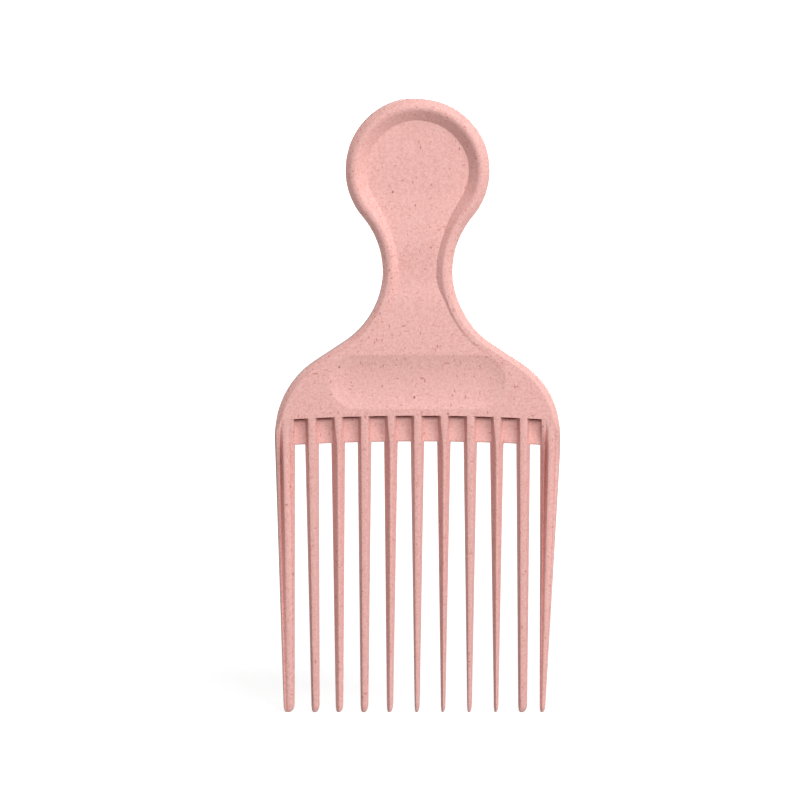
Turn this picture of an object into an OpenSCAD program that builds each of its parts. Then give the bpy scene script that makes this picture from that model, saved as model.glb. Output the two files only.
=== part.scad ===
// Afro pick moulded in one shot: a round head on a waisted neck, wide shoulders and a row of long
// tapering teeth. It stands upright on its tooth tips. X runs across the teeth, the front faces -Y
// and Z points up from the tips to the head. The origin is on the floor, in the middle.
// The moulding is divided at its own feature lines, so every piece meets its neighbours face to face.

/* [Overall] */
// Height from the tooth tips to the top of the head
total_h = 170; // [150:1:200]
// Width over the shoulders and the outer teeth
comb_w = 78.3; // [76:0.1:86]
// Thickness over the rim and the shoulders
body_t = 7; // [5.4:0.1:9]

/* [Handle outline] */
// Radius of the round head
head_r = 19.7; // [18:0.1:22]
// Narrowest width of the neck
neck_w = 19.1; // [17:0.1:22]
// Radius of the hollow at each side of the neck
waist_r = 23.5; // [21:0.5:27]
// Length of the straight flank between that hollow and the round shoulder
flank_l = 9.7; // [5:0.1:12]
// Radius of the round shoulders
shoulder_r = 24.7; // [22:0.1:26]
// Rounding of the outer edge, on the front and on the back
edge_r = 2.4; // [1:0.1:2.6]

/* [Grip recess] */
// Width of the rim round the head
head_rim_w = 5.5; // [5:0.1:7.5]
// Width of the rim along the neck
neck_rim_w = 4.4; // [4:0.1:5.5]
// Flat crest of the rim, between its outer rounding and its slope
crest_w = 0.3; // [0.1:0.1:1]
// Thickness of the recess floor
floor_t = 3.2; // [2:0.1:4.4]
// How far below the narrowest place of the neck the floor starts to rise
ramp_drop = 5.6; // [4:0.1:7]
// Height that the rise to the shoulder face takes
ramp_h = 18; // [12:0.5:18]

/* [Shoulders] */
// Length of the shallow dish on the front
dish_l = 48.4; // [36:0.1:52]
// Height of the dish
dish_h = 15.1; // [12:0.1:15.4]
// Depth of the dish in its middle
dish_d = 0.65; // [0.2:0.05:1]
// Gap between the dish and the arch above the tooth roots
dish_gap = 1.8; // [1.4:0.1:2.5]

/* [Tooth roots] */
// Height of the arch, where the shoulder face ends, above the middle of the round shoulders
arch_rise = 5.1; // [4:0.1:6]
// How far the arch falls from the middle to the outer edge
arch_fall = 1.3; // [0.5:0.1:2]
// Height of the thin web between the roots
web_h = 7.3; // [5:0.1:8]
// Thickness of the web
web_t = 2.4; // [1.6:0.1:3]
// How far the root bar reaches below the web, in the middle
root_drop = 1.7; // [1.4:0.1:3]

/* [Teeth] */
// Width of an inner tooth at its root
tooth_w = 4.1; // [3.4:0.05:4.5]
// Width of an outer tooth at its root
outer_w = 5.7; // [5:0.1:6.4]
// Depth of a flat-faced tooth at its tip, front to back
flat_tip_t = 2.4; // [1.6:0.1:3]
// Depth of a ridged tooth at its tip, front to back
ridge_tip_t = 1.9; // [1.4:0.1:2.6]
// Length of the rounded end of a tooth
tip_l = 2.4; // [1.5:0.1:3]
// Height at which the flanges of the outer teeth have run out
flange_end_z = 25; // [15:1:40]

/* [Hidden] */
$fn = 96;
// Segments on the wide arch circles
ARCH_FN = 900;
// How far shapes run past the outline that trims them
over = 1;
// Steps round the head, an odd number so that the top falls between two stations
HEAD_STEPS = 45;
// Steps along the hollow of one side of the neck, along its flank and along one shoulder
NECK_STEPS = 16;
FLANK_STEPS = 4;
SHOULDER_STEPS = 10;
// Steps round the outer edge and down the slope of the rim
EDGE_STEPS = 5;
SLOPE_STEPS = 4;

// Turn round the head, in degrees, over which the rim widens from the neck's width to the head's
RIM_BLEND_ANGLE = 50;
// Slope left where the recess has run out, of the full slope
SLOPE_END_share = 0.15;

// The teeth that the shares below describe, left to right as seen from the front
TEETH = 11;
MIDDLE = (TEETH - 1) / 2;
// Width just above the rounded tip, of the width at the root
tip_w_shares = [0.58, 0.69, 0.67, 0.67, 0.52, 0.46, 0.43, 0.43, 0.45, 0.70, 0.37];
// How far a tip stands to the right of its root, of the pitch
tip_shift_shares = [0.14, 0.13, 0.04, -0.01, -0.04, -0.01, -0.02, -0.02, -0.01, 0, -0.3];

// Front land of a flat tooth and crest of a ridged one, of the tooth's width
FLAT_LAND_share = 0.5;
RIDGE_LAND_share = 0.24;
// Size of the broken corner, of the flank, on each kind
FLAT_CORNER_share = 0.12;
RIDGE_CORNER_share = 0.3;
// Straight side at the parting line, of the depth
SIDE_share = 0.1;
// A ridged tooth's depth just below the web, of the body's thickness
RIDGE_DEPTH_share = 0.9;
// Ridge on an outer tooth, of the tooth's width: its crest, and its foot below the roots and where
// the flange has run out
OUTER_CREST_share = 0.2;
OUTER_FOOT_share = 0.5;
OUTER_FOOT_END_share = 0.8;
// Flange beside that ridge, of the ridge's depth: below the roots and where it has run out
FLANGE_share = 0.55;
FLANGE_END_share = 0.8;
// Straight part of the flange's edge, of its depth, and its broken corner, of the tooth's width
FLANGE_SIDE_share = 0.5;
FLANGE_CORNER_share = 0.12;
// Blunt end of a tooth, of the full section, and the steps up to it
TIP_BLUNT_share = 0.3;
TIP_STEPS = 5;
// Steps along the roots inside the bar
ROOT_STEPS = 4;

half_t = body_t / 2;
// Centres of the outline's arcs, in X and Z. The head's arc is tangent to the hollow of the neck, and
// the flank is tangent to that hollow and to the shoulder.
head_c = [0, total_h - head_r];
waist_x = neck_w / 2 + waist_r;
waist_c = [waist_x, head_c[1] - leg(head_r + waist_r, waist_x)];
shoulder_x = comb_w / 2 - shoulder_r;
centres_l = sqrt(pow(waist_r + shoulder_r, 2) + pow(flank_l, 2));
shoulder_c = [shoulder_x, waist_c[1] - leg(centres_l, waist_x - shoulder_x)];
// Directions from each arc's centre to where the next arc or the flank starts
head_a = atan2(waist_c[1] - head_c[1], waist_x);
waist_a = 360 + atan2(shoulder_c[1] - waist_c[1], shoulder_x - waist_x)
    - atan2(flank_l, waist_r + shoulder_r);

// Rim and recess
crest_u = edge_r + crest_w;
recess_d = (body_t - floor_t) / 2;
ramp_z = waist_c[1] - ramp_drop;

// Heights of the roots: the arch over them, the bar's underside and its top a little above the arch
arch_z = shoulder_c[1] + arch_rise;
comb_z = arch_z - web_h - root_drop;
bar_top_z = arch_z + root_drop / 2;
bar_top_a = asin((bar_top_z - shoulder_c[1]) / shoulder_r);
// The arch, and the same curve again under the web
arch_r = (pow(comb_w / 2, 2) + pow(arch_fall, 2)) / (2 * arch_fall);

// Dish: a ball and a bar of one radius scoop it out
dish_r = (pow(dish_h / 2, 2) + pow(dish_d, 2)) / (2 * dish_d);
dish_z = arch_z + dish_gap + dish_h / 2;
dish_end_x = (dish_l - dish_h) / 2;

// Distance from tooth to tooth
pitch = (comb_w - outer_w) / (TEETH - 1);

// Shorter side of a right triangle
function leg(long, side) = sqrt(pow(long, 2) - pow(side, 2));
function mix(a, b, t) = a + (b - a) * t;
function held(t) = min(1, max(0, t));
function eased(t) = held(t) * held(t) * (3 - 2 * held(t));
function backwards(list) = [for (k = [len(list) - 1 : -1 : 0]) list[k]];
function tooth_name(i) = str("tooth_", i < 9 ? "0" : "", i + 1);

// A station on the right half of the outline: its point, the way inwards and the rim's width there
function station(c, r, a, inwards, rim_w) = [
    [c[0] + r * cos(a), c[1] + r * sin(a)], [inwards * cos(a), inwards * sin(a)], rim_w
];
head_step = (180 - 2 * head_a) / HEAD_STEPS;
function head_rim_w_at(turn) = mix(neck_rim_w, head_rim_w, eased(turn / RIM_BLEND_ANGLE));
head_stations = [for (k = [0 : (HEAD_STEPS - 1) / 2])
    station(head_c, head_r, head_a + k * head_step, -1, head_rim_w_at(k * head_step))];
flank_top = station(waist_c, waist_r, waist_a, 1, neck_rim_w);
function flank_station(l) = [
    [flank_top[0][0] - l * sin(waist_a), flank_top[0][1] + l * cos(waist_a)], flank_top[1], neck_rim_w
];
neck_stations = concat(
    [for (k = [0 : FLANK_STEPS - 1]) flank_station(mix(flank_l, 0, k / FLANK_STEPS))],
    [for (k = [0 : NECK_STEPS])
        station(waist_c, waist_r, mix(waist_a, 180 + head_a, k / NECK_STEPS), 1, neck_rim_w)]
);
neck_end = neck_stations[0];

// The point a distance u inwards from a station, at the depth y, and its mirror image
function at(st, u, y) = [st[0][0] + u * st[1][0], y, st[0][1] + u * st[1][1]];
function mirrored(p) = [-p[0], p[1], p[2]];

// Share of the recess's full depth at a station: all of it on the grip, none on the shoulders
function depth_share(st) = held(1 - (ramp_z - at(st, crest_u, 0)[2]) / ramp_h);
// Where the slope of the rim ends, inwards from the outline, and half the floor's thickness there
function foot_u(st) = mix(crest_u, st[2], max(SLOPE_END_share, depth_share(st)));
function floor_y(st) = half_t - recess_d * depth_share(st);

// Rounded outer edge in section, from the side to the front: distance inwards and half-thickness
edge_quarter = [for (k = [0 : EDGE_STEPS])
    let (t = 90 * k / EDGE_STEPS)
        [edge_r * (1 - cos(t)), half_t - edge_r * (1 - sin(t))]];
// The same with the crest and the slope of the rim down to the floor
function rim_quarter(st) = concat(
    edge_quarter,
    [for (k = [0 : SLOPE_STEPS])
        let (t = k / SLOPE_STEPS)
            [mix(crest_u, foot_u(st), t), mix(floor_y(st), half_t, cos(90 * t))]]
);

// Section of the rim at a station, and the floor's corners level with the foot of its slope
function rim_ring(st) =
    let (q = rim_quarter(st))
        concat([for (p = q) at(st, p[0], p[1])], [for (p = backwards(q)) at(st, p[0], -p[1])]);
function floor_ring(st) =
    let (front = at(st, foot_u(st), -floor_y(st)), back = at(st, foot_u(st), floor_y(st)))
        [back, mirrored(back), mirrored(front), front];

// Full section of the shoulders at a station, of four equal quarters, anticlockwise from above
shoulder_quarter = concat(edge_quarter, [[foot_u(neck_end), half_t]]);
function shoulder_ring(st) = concat(
    [for (p = shoulder_quarter) at(st, p[0], p[1])],
    [for (p = backwards(shoulder_quarter)) mirrored(at(st, p[0], p[1]))],
    [for (p = shoulder_quarter) mirrored(at(st, p[0], -p[1]))],
    [for (p = backwards(shoulder_quarter)) at(st, p[0], -p[1])]
);
// A station whose section lies level, on the shoulders or on the straight sides below them
function half_w(z) = z > shoulder_c[1] ? shoulder_x + leg(shoulder_r, z - shoulder_c[1]) : comb_w / 2;
function level_station(z) = [[half_w(z), z], [-1, 0], neck_rim_w];
shoulder_stations = concat(
    [level_station(bar_top_z)],
    [for (k = [1 : SHOULDER_STEPS])
        let (a = mix(bar_top_a, waist_a - 180, k / SHOULDER_STEPS))
            station(shoulder_c, shoulder_r, a, -1, neck_rim_w)]
);

// Solid through closed rings of points, closed at the last ring by one face or by those in last_faces
module through(rings, last_faces = []) {
    n = len(rings[0]);
    m = len(rings);
    whole = [[for (k = [0 : n - 1]) k]];
    sides = [
        for (j = [0 : m - 2], k = [0 : n - 1])
            let (a = j * n + k, b = j * n + (k + 1) % n)
                each [[a, b + n, b], [a, a + n, b + n]]
    ];
    polyhedron(
        points = [for (ring = rings) each ring],
        faces = concat(
            whole,
            sides,
            [for (face = len(last_faces) > 0 ? last_faces : whole)
                [for (k = backwards(face)) (m - 1) * n + k]]
        )
    );
}

// Stands an outline drawn in X and Z upright, t thick about the mid-plane
module upright(t) {
    rotate([90, 0, 0])
        linear_extrude(height = t, center = true)
            children();
}

// Rim over the head, from the right of the neck round the top to the left
module head_rim() {
    right = [for (st = head_stations) rim_ring(st)];
    left = [for (ring = backwards(right)) [for (p = ring) mirrored(p)]];
    color("lightpink")
        through(concat(right, left));
}

module neck_rail_right() {
    color("lightpink")
        through([for (st = neck_stations) rim_ring(st)]);
}

module neck_rail_left() {
    mirror([1, 0, 0])
        neck_rail_right();
}

module dish() {
    translate([0, -(half_t - dish_d + dish_r), dish_z]) {
        rotate([0, 90, 0])
            cylinder(h = 2 * dish_end_x, r = dish_r, center = true);
        for (side = [-1, 1])
            translate([side * dish_end_x, 0, 0])
                sphere(dish_r);
    }
}

// Thin panel inside the rim, rising to full thickness where it meets the shoulders
module grip_floor() {
    below = [for (k = [0 : len(neck_stations) - 2]) floor_ring(neck_stations[k])];
    above = [for (st = head_stations) floor_ring(st)];
    color("pink")
        difference() {
            through(concat(below, above));
            dish();
        }
}

module shoulder() {
    n = len(shoulder_quarter);
    right_end = concat([for (k = [0 : n - 1]) k], [for (k = [3 * n : 4 * n - 1]) k]);
    left_end = [for (k = [n : 3 * n - 1]) k];
    middle_end = [n - 1, n, 3 * n - 1, 3 * n];
    color("pink")
        difference() {
            through([for (st = shoulder_stations) shoulder_ring(st)], [right_end, left_end, middle_end]);
            dish();
        }
}

// A band, t thick, from the curve whose highest point is at z up past the root bar's top
module above_arch(z, width, t) {
    upright(t)
        difference() {
            translate([-width / 2, comb_z])
                square([width, bar_top_z + over - comb_z]);
            translate([0, z - arch_r])
                circle(arch_r, $fn = ARCH_FN);
        }
}

// Width, sideways place and depth of a tooth at the height z
function is_outer(i) = i == 0 || i == TEETH - 1;
function is_flat(i) = i % 2 == 1;
function taper(z) = held((arch_z - z) / (arch_z - tip_l));
function wide(i, z) = (is_outer(i) ? outer_w : tooth_w) * mix(1, tip_w_shares[i], taper(z));
function place(i, z) = pitch * (i - MIDDLE + tip_shift_shares[i] * taper(z));
// How far the step back from the shoulder face has gone
function fade(z) = eased((arch_z - z) / (2 * web_h));
function deep(i, z) = is_flat(i)
    ? mix(body_t, flat_tip_t, taper(z))
    : mix(body_t * mix(1, RIDGE_DEPTH_share, fade(z)), ridge_tip_t, taper(z));
// Rounding of the tip: one above it, falling along a quarter circle
function tip(z) = z >= tip_l ? 1 : mix(TIP_BLUNT_share, 1, sqrt(1 - pow(1 - z / tip_l, 2)));

// A quarter of a tooth's section, from its side round to its front, half-width a and half-depth b
function plain_quarter(a, b, land, corner) = [
    [a, SIDE_share * b],
    [mix(land * a, a, corner), mix(b, SIDE_share * b, corner)],
    [land * a * (1 - corner), b]
];
function flange_run(z) = held((comb_z - z) / (comb_z - flange_end_z));
function outer_quarter(a, b, z) =
    let (edge = mix(FLANGE_share, FLANGE_END_share, flange_run(z)) * b)
    let (flange = mix(b, edge, fade(z)))
    let (foot = mix(OUTER_FOOT_share, OUTER_FOOT_END_share, flange_run(z)) * a)
    [
        [a, FLANGE_SIDE_share * flange],
        [a * (1 - FLANGE_CORNER_share), flange],
        [foot, mix(flange, b, SIDE_share)],
        [OUTER_CREST_share * a, b]
    ];
function tooth_quarter(i, a, b, z) =
    is_outer(i) ? outer_quarter(a, b, z)
    : is_flat(i) ? plain_quarter(a, b, FLAT_LAND_share, FLAT_CORNER_share)
    : plain_quarter(a, b, RIDGE_LAND_share, RIDGE_CORNER_share);
// The closed section of tooth i at the height z, anticlockwise as seen from above
function tooth_ring(i, z) =
    let (q = tooth_quarter(i, wide(i, z) / 2 * tip(z), deep(i, z) / 2 * tip(z), z))
    [for (p = concat(
        q,
        [for (p = backwards(q)) [-p[0], p[1]]],
        [for (p = q) [-p[0], -p[1]]],
        [for (p = backwards(q)) [p[0], -p[1]]]
    )) [p[0] + place(i, z), p[1], z]];

bar_heights = [for (k = [0 : ROOT_STEPS]) mix(comb_z - over, bar_top_z, k / ROOT_STEPS)];
root_heights = [for (k = [0 : ROOT_STEPS]) mix(comb_z, bar_top_z + over, k / ROOT_STEPS)];
tip_heights = [for (k = [0 : TIP_STEPS - 1]) tip_l * (1 - cos(90 * k / TIP_STEPS))];
shaft_heights = [
    tip_l, mix(tip_l, flange_end_z, 1 / 2), flange_end_z,
    mix(flange_end_z, comb_z, 1 / 2), mix(flange_end_z, comb_z, 4 / 5), comb_z
];

// The bar that carries the teeth: their roots, the thin web between them and the foot of the shoulders
module root_bar() {
    color("lightpink")
        intersection() {
            through([for (z = bar_heights) shoulder_ring(level_station(z))]);
            union() {
                for (i = [0 : TEETH - 1])
                    through([for (z = root_heights) tooth_ring(i, z)]);
                above_arch(arch_z - web_h, (TEETH - 1) * pitch, web_t);
                above_arch(arch_z, comb_w + 2 * over, body_t + 2 * over);
            }
        }
}

module tooth(i) {
    color("pink")
        through([for (z = concat(tip_heights, shaft_heights)) tooth_ring(i, z)]);
}

head_rim();
neck_rail_left();
neck_rail_right();
grip_floor();
shoulder();
root_bar();
for (i = [0 : TEETH - 1])
    tooth(i);
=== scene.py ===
"""Hair pick: one moulding of matt pink plastic with straw flecks, on a plain white floor.

The moulding's whole surface is worked out first, then shared out among its named pieces, so that
the shading runs on from each piece to the next. X runs across the teeth, the front faces -Y and Z
points up.
"""

import math

import bmesh
import bpy
import numpy as np
from bpy.props import FloatProperty, FloatVectorProperty, PointerProperty
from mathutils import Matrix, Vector


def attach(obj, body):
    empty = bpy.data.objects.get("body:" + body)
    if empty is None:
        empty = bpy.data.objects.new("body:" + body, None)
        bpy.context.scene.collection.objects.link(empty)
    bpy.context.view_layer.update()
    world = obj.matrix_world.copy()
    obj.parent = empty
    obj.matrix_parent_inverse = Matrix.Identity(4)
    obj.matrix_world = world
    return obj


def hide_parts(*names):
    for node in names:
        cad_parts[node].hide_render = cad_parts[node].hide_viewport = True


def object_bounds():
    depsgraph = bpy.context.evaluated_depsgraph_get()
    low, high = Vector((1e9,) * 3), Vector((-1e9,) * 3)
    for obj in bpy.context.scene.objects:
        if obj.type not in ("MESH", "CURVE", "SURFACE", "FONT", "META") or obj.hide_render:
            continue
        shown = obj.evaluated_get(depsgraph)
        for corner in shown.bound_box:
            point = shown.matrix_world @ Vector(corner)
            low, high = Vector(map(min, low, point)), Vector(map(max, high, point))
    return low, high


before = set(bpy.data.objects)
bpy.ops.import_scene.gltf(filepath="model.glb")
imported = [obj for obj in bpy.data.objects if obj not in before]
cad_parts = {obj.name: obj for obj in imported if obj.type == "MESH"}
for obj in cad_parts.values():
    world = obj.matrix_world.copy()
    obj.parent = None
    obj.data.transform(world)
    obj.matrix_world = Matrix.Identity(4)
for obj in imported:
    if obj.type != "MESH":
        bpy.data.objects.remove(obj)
cad_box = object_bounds()

bl_info = {
    "name": "Hair Pick",
    "version": (1, 0, 0),
    "blender": (4, 5, 0),
    "location": "3D View > Sidebar > Hair Pick",
    "description": "Builds a moulded hair pick and the plain studio round it",
    "category": "Add Mesh",
}

MM = 0.001
TEETH = 11
MIDDLE = (TEETH - 1) / 2

# Shares that shape each tooth, left to right as seen from the front: the width just above the tip,
# of the width at the root, and how far the tip stands to the right of its root, of the pitch
TIP_WIDTH = (0.53, 0.57, 0.53, 0.54, 0.44, 0.35, 0.31, 0.33, 0.32, 0.62, 0.26)
TIP_SHIFT = (0.15, 0.13, 0.04, -0.01, -0.04, -0.01, -0.02, -0.02, -0.01, 0.0, -0.30)
# Size of a tooth's section at its end, of the full one, and how far the end has moved left, of half
# the tooth's width: tips are cut off more on their right
TIP_END, TIP_CUT = 0.3, 0.35
# Roots of the first and the last tooth: the width, of the outer width, and how far each stands to
# the right of its place in the row, of the pitch
OUTER_ROOTS = {0: (0.95, -0.023), TEETH - 1: (1.0, 0.056)}

# Millimetres above the neck's narrowest place where the rim widens and the recess deepens, and over
# how many
WIDENS_FROM, WIDENS_OVER = 8, 10.5
DEEPENS_FROM, DEEPENS_OVER = 5, 16
# Millimetres above the ramp over which the floor drops, the rim's slope widens and the edge gets
# softer, and the slope's width beside the ramp, of the rim's
DROPS_OVER, SLOPE_OVER, SOFTENS_OVER = 8, 7, 12
NARROW_SLOPE = 0.42
# Share of the head's radius, above its middle, over which the rim reaches its width at the top
TOP_RIM_OVER = 0.9
# Share of the rim's slope that starts softly
SOFT_START = 0.3
# Slot above the web: places below the arch, of its height, and how deep it is there, of its depth
SLOT_FORM = ((0, 1), (0.5, 1), (1, 1), (1.25, 0.25), (1.9, 0.12), (2.5, 0))
# Depth of the web's bevel, of its height
WEB_BEVEL_DEPTH = 0.7

# Half depth of a tooth's sides, of its own
SIDE = 0.1
# Front of an inner tooth: its land, of half the width, the reach of its rounded corners, and the
# millimetres over which a ridged one takes its form
FLAT_LAND, FLAT_REACH = 0.5, 0.13
RIDGE_LAND, RIDGE_REACH = 0.2, 0.42
RIDGE_OVER = 11
# Reach of those corners along the land, of that down the side, and the most that it is
LAND_REACH, LAND_REACH_MOST = 1.5, 0.9
# Depth of a ridged tooth once it has stepped back from the shoulders, of the full thickness
RIDGE_DEPTH = 0.9
# Front of an outer tooth, at its root and where its strips have run out: depth of the strips,
# distance from its middle to the foot of the ridge, and depth of its groove
STRIP_DEPTH = (0.66, 0.86)
RIDGE_FOOT = (0.46, 0.66)
GROOVE_DEPTH = (0.52, 0.28)
# All the way down, of half its width: the ridge's crest, the lip of a groove, and the furthest foot
# and the edge of the inner strip
CREST, LIP, INNER_FOOT, INNER_EDGE = 0.22, 0.1, 0.62, 0.85
# Depth of the lesser groove, of the other, and the fall of each strip over its width
LESSER_GROOVE = 0.1
INNER_FALL, OUTER_FALL = 1.3, 0.5
# Reach of the crest's rounded corners, towards the foot and along the crest
FOOT_REACH, CREST_REACH = 0.35, 0.6
# Least room for the outline's bevel on an outer tooth, of the bevel's width
BEVEL_ROOM = 1.3
# Millimetres below the arch where the strips start to run out, and where the tooth's own round
# corner takes over from the outline's bevel, and over how many
STRIPS_FROM = 8.7
CORNER_FROM, CORNER_OVER = 1, 9
# That corner's depth, of the strip's, and its width, of half the tooth's
CORNER_DEPTH, CORNER_WIDTH = 0.45, 0.16
# Millimetres over which the rows of a tooth change from following the arch to level
LEVELS_OVER = 6

# Points in a section: over the bevel, as shares of its width, with three on its straight part; in
# from there to the rim's slope; down that slope; across a gap between roots; and round a corner
BEVEL_POINTS = (0.0, 0.45, 0.9, 1.0, 1.1)
CREST_POINTS, SLOPE_POINTS, GAP_POINTS, CORNER_POINTS = 3, 10, 3, 4
# Rows along each stretch, and how much closer together some start
HEAD_ROWS, FLANK_ROWS, SHOULDER_ROWS, ROOT_ROWS, TIP_ROWS = 60, 18, 72, 24, 9
NECK_ROWS, NECK_CROWDING = 64, 1.15
TOOTH_ROWS, TOOTH_CROWDING = 46, 1.25
# Points in the same hundred-thousandth of a millimetre are one
KEYS_PER_MM = 1e5
# Faces that meet at more than this angle keep a crisp edge
CRISP_ANGLE = math.radians(24)

# Flecks: cells per metre, share of them filled, size in a cell, stretch and turn of the cells
DUST = (2000.0, 0.6, 0.5, (1.0, 1.0, 1.0), (0.0, 0.0, 0.0))
FIBRES = (1150.0, 0.35, 0.34, (1.0, 1.0, 0.45), (0.2, 0.7, 0.0))
CROSSED_FIBRES = (950.0, 0.30, 0.32, (0.4, 1.0, 1.0), (0.0, -0.4, 0.5))
HUSKS = (420.0, 0.22, 0.16, (1.0, 1.0, 0.7), (0.5, 0.2, 0.9))
# Scale of the noise that bends the rows of cells, and how far it moves them, in metres
WANDER_SCALE, WANDER = 700.0, 0.0006
# How strongly the flecks colour the plastic
DUST_STRENGTH, FIBRE_STRENGTH, HUSK_STRENGTH = 0.5, 0.62, 0.8
# Smallest and faintest fleck, of the full size and strength, the part of a fleck that is even, and
# how deep a husk lies in the bump
SMALLEST, FAINTEST, EVEN, HUSK_DEPTH = 0.3, 0.4, 0.6, 0.5
# Span of the noise that makes the mottle
CLOUDS = (0.3, 0.7)
# How far the roughness strays either way
SMOOTHER, ROUGHER = 0.04, 0.05
# Channels of the mottled plastic and floor, of the plain colour's
PALER, DEEPER, MOTTLED_FLOOR = (1.04, 1.10, 1.10), (0.94, 0.87, 0.86), (0.985, 0.985, 0.985)

# Lamps: side in metres, turn from the front to the right and rise in degrees, distance in metres
LAMPS = {
    "front": (0.8, 11, 24, 2.0), "top": (1.2, 27, 58, 3.0), "side": (0.8, 45, 25, 2.0),
    "back": (0.6, 172, 14, 2.0)}
# Metres: height of the point that they light, half the floor's side, and how far from the pick the
# floor starts to turn white and is white
LIT_HEIGHT = 0.085
FLOOR_HALF = 6.0
WHITE_FROM, WHITE_BY = 0.08, 0.4


def mix(a, b, t):
    return a + (b - a) * t


def held(t):
    return min(1.0, max(0.0, t))


def eased(t):
    t = held(t)
    return t * t * (3 - 2 * t)


def leg(long, side):
    """The other short side of a right triangle."""
    return math.sqrt(long * long - side * side)


def rounded(corner, before, after, reach_in, reach_out):
    """Points that round a corner between its neighbours, each reach a share of the way to one."""
    start = [mix(corner[k], before[k], reach_in) for k in (0, 1)]
    end = [mix(corner[k], after[k], reach_out) for k in (0, 1)]
    points = []
    for k in range(CORNER_POINTS):
        t = k / (CORNER_POINTS - 1)
        points.append(tuple(
            (1 - t) ** 2 * start[n] + 2 * t * (1 - t) * corner[n] + t * t * end[n]
            for n in (0, 1)))
    return points


def slope_fall(t):
    """How far the rim's slope has fallen at the share t of its width: a soft start from the crest,
    then straight down to a crisp crease at the floor."""
    whole = 1 - SOFT_START / 2
    return (t * t / (2 * SOFT_START) if t < SOFT_START else t - SOFT_START / 2) / whole


# Settings


def length(name, description, default):
    return FloatProperty(name=name, description=description, default=default, unit="LENGTH")


def share(name, description, default):
    return FloatProperty(
        name=name, description=description, default=default, min=0, max=1, subtype="FACTOR")


def power(name, description, default):
    return FloatProperty(name=name, description=description, default=default, unit="POWER")


def colour(name, description, default):
    return FloatVectorProperty(
        name=name, description=description, default=default, size=3, min=0, max=1,
        subtype="COLOR_GAMMA")


class PickSizes(bpy.types.PropertyGroup):
    """Sizes of the pick. Its height and thickness come from the CAD model's box."""

    total_h: length(
        "Height", "From the tooth tips to the top of the head", cad_box[1][2] - cad_box[0][2])
    comb_w: length("Width", "Over the shoulders and the outer teeth", 0.0783)
    body_t: length("Thickness", "Over the rim and the shoulders", cad_box[1][1] - cad_box[0][1])
    head_r: length("Head radius", "Radius of the round head", 0.0197)
    neck_w: length("Neck width", "Narrowest width of the neck", 0.0191)
    waist_r: length("Waist radius", "Radius of the hollow at each side of the neck", 0.0235)
    flank_l: length("Flank length", "Straight flank between that hollow and the shoulder", 0.0097)
    shoulder_r: length("Shoulder radius", "Radius of the round shoulders", 0.0247)
    edge_w: length("Edge width", "From the outline in to where the face is level", 0.0024)
    bevel_w: length("Bevel width", "Width of the bevel along the outline", 0.00135)
    bevel_d: length("Bevel depth", "Depth of that bevel", 0.00098)
    soft_d: length("Rounding depth", "Depth of the soft rounding between bevel and crest", 0.00022)
    head_rim_w: length("Head rim", "Width of the rim at the sides of the head", 0.0057)
    top_rim_w: length("Top rim", "Width of the rim at the top of the head", 0.0061)
    neck_rim_w: length("Neck rim", "Width of the rim along the neck", 0.0044)
    crest_w: length("Rim crest", "Flat crest between the rim's rounding and its slope", 0.00005)
    floor_t: length("Floor thickness", "Thickness of the floor inside the rim", 0.0022)
    neck_share: share("Neck recess", "Depth of the recess along the neck, of the head's", 0.48)
    ramp_drop: length("Ramp start", "How far below the narrowest place the floor has risen", 0.009)
    ramp_share: share("Ramp recess", "Depth at the top of the faint ramp, of the head's", 0.18)
    ramp_h: length("Ramp height", "Height of the faint ramp down to the shoulder face", 0.0145)
    dish_l: length("Dish length", "Length of the shallow dish", 0.0484)
    dish_h: length("Dish height", "Height of the dish", 0.0151)
    dish_d: length("Dish depth", "Depth of the dish in its middle", 0.0009)
    dish_gap: length("Dish gap", "Gap between the dish and the arch above the tooth roots", 0.0018)
    arch_rise: length("Arch rise", "Height of the arch above the shoulders' round middle", 0.006)
    arch_fall: length("Arch fall", "How far the arch falls to the outer edge", 0.0013)
    web_h: length("Web height", "Height of the thin web between the roots", 0.0075)
    web_t: length("Web thickness", "Thickness of the web", 0.0024)
    slot_h: length("Slot height", "Height of the slot above the web, under the shoulders", 0.00055)
    slot_d: length("Slot depth", "How much deeper than the web that slot is", 0.0011)
    web_bevel: length("Web bevel", "Bevel along the lower edge of the web", 0.0003)
    tooth_w: length("Tooth width", "Width of an inner tooth at its root", 0.004)
    outer_w: length("Outer tooth width", "Width of an outer tooth at its root", 0.0061)
    pitch: length("Tooth pitch", "Distance from tooth to tooth", 0.00726)
    flat_tip_t: length("Flat tooth tip", "Depth of a flat-faced tooth at its tip", 0.0024)
    ridge_tip_t: length("Ridged tooth tip", "Depth of a ridged tooth at its tip", 0.0019)
    tip_l: length("Tip length", "Length of the rounded end of a tooth", 0.0024)
    strips_end: length("Strips' end", "Height where the outer teeth's strips have run out", 0.025)


class PickFinish(bpy.types.PropertyGroup):
    """Colours of the plastic and its flecks."""

    plastic: colour("Plastic", "Colour of the plastic", (0.926, 0.713, 0.687))
    straw: colour("Straw", "Colour of the fine flecks", (0.72, 0.37, 0.30))
    husk: colour("Husk", "Colour of the few dark flecks", (0.52, 0.22, 0.17))
    roughness: share("Roughness", "How matt the plastic is", 0.5)


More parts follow.
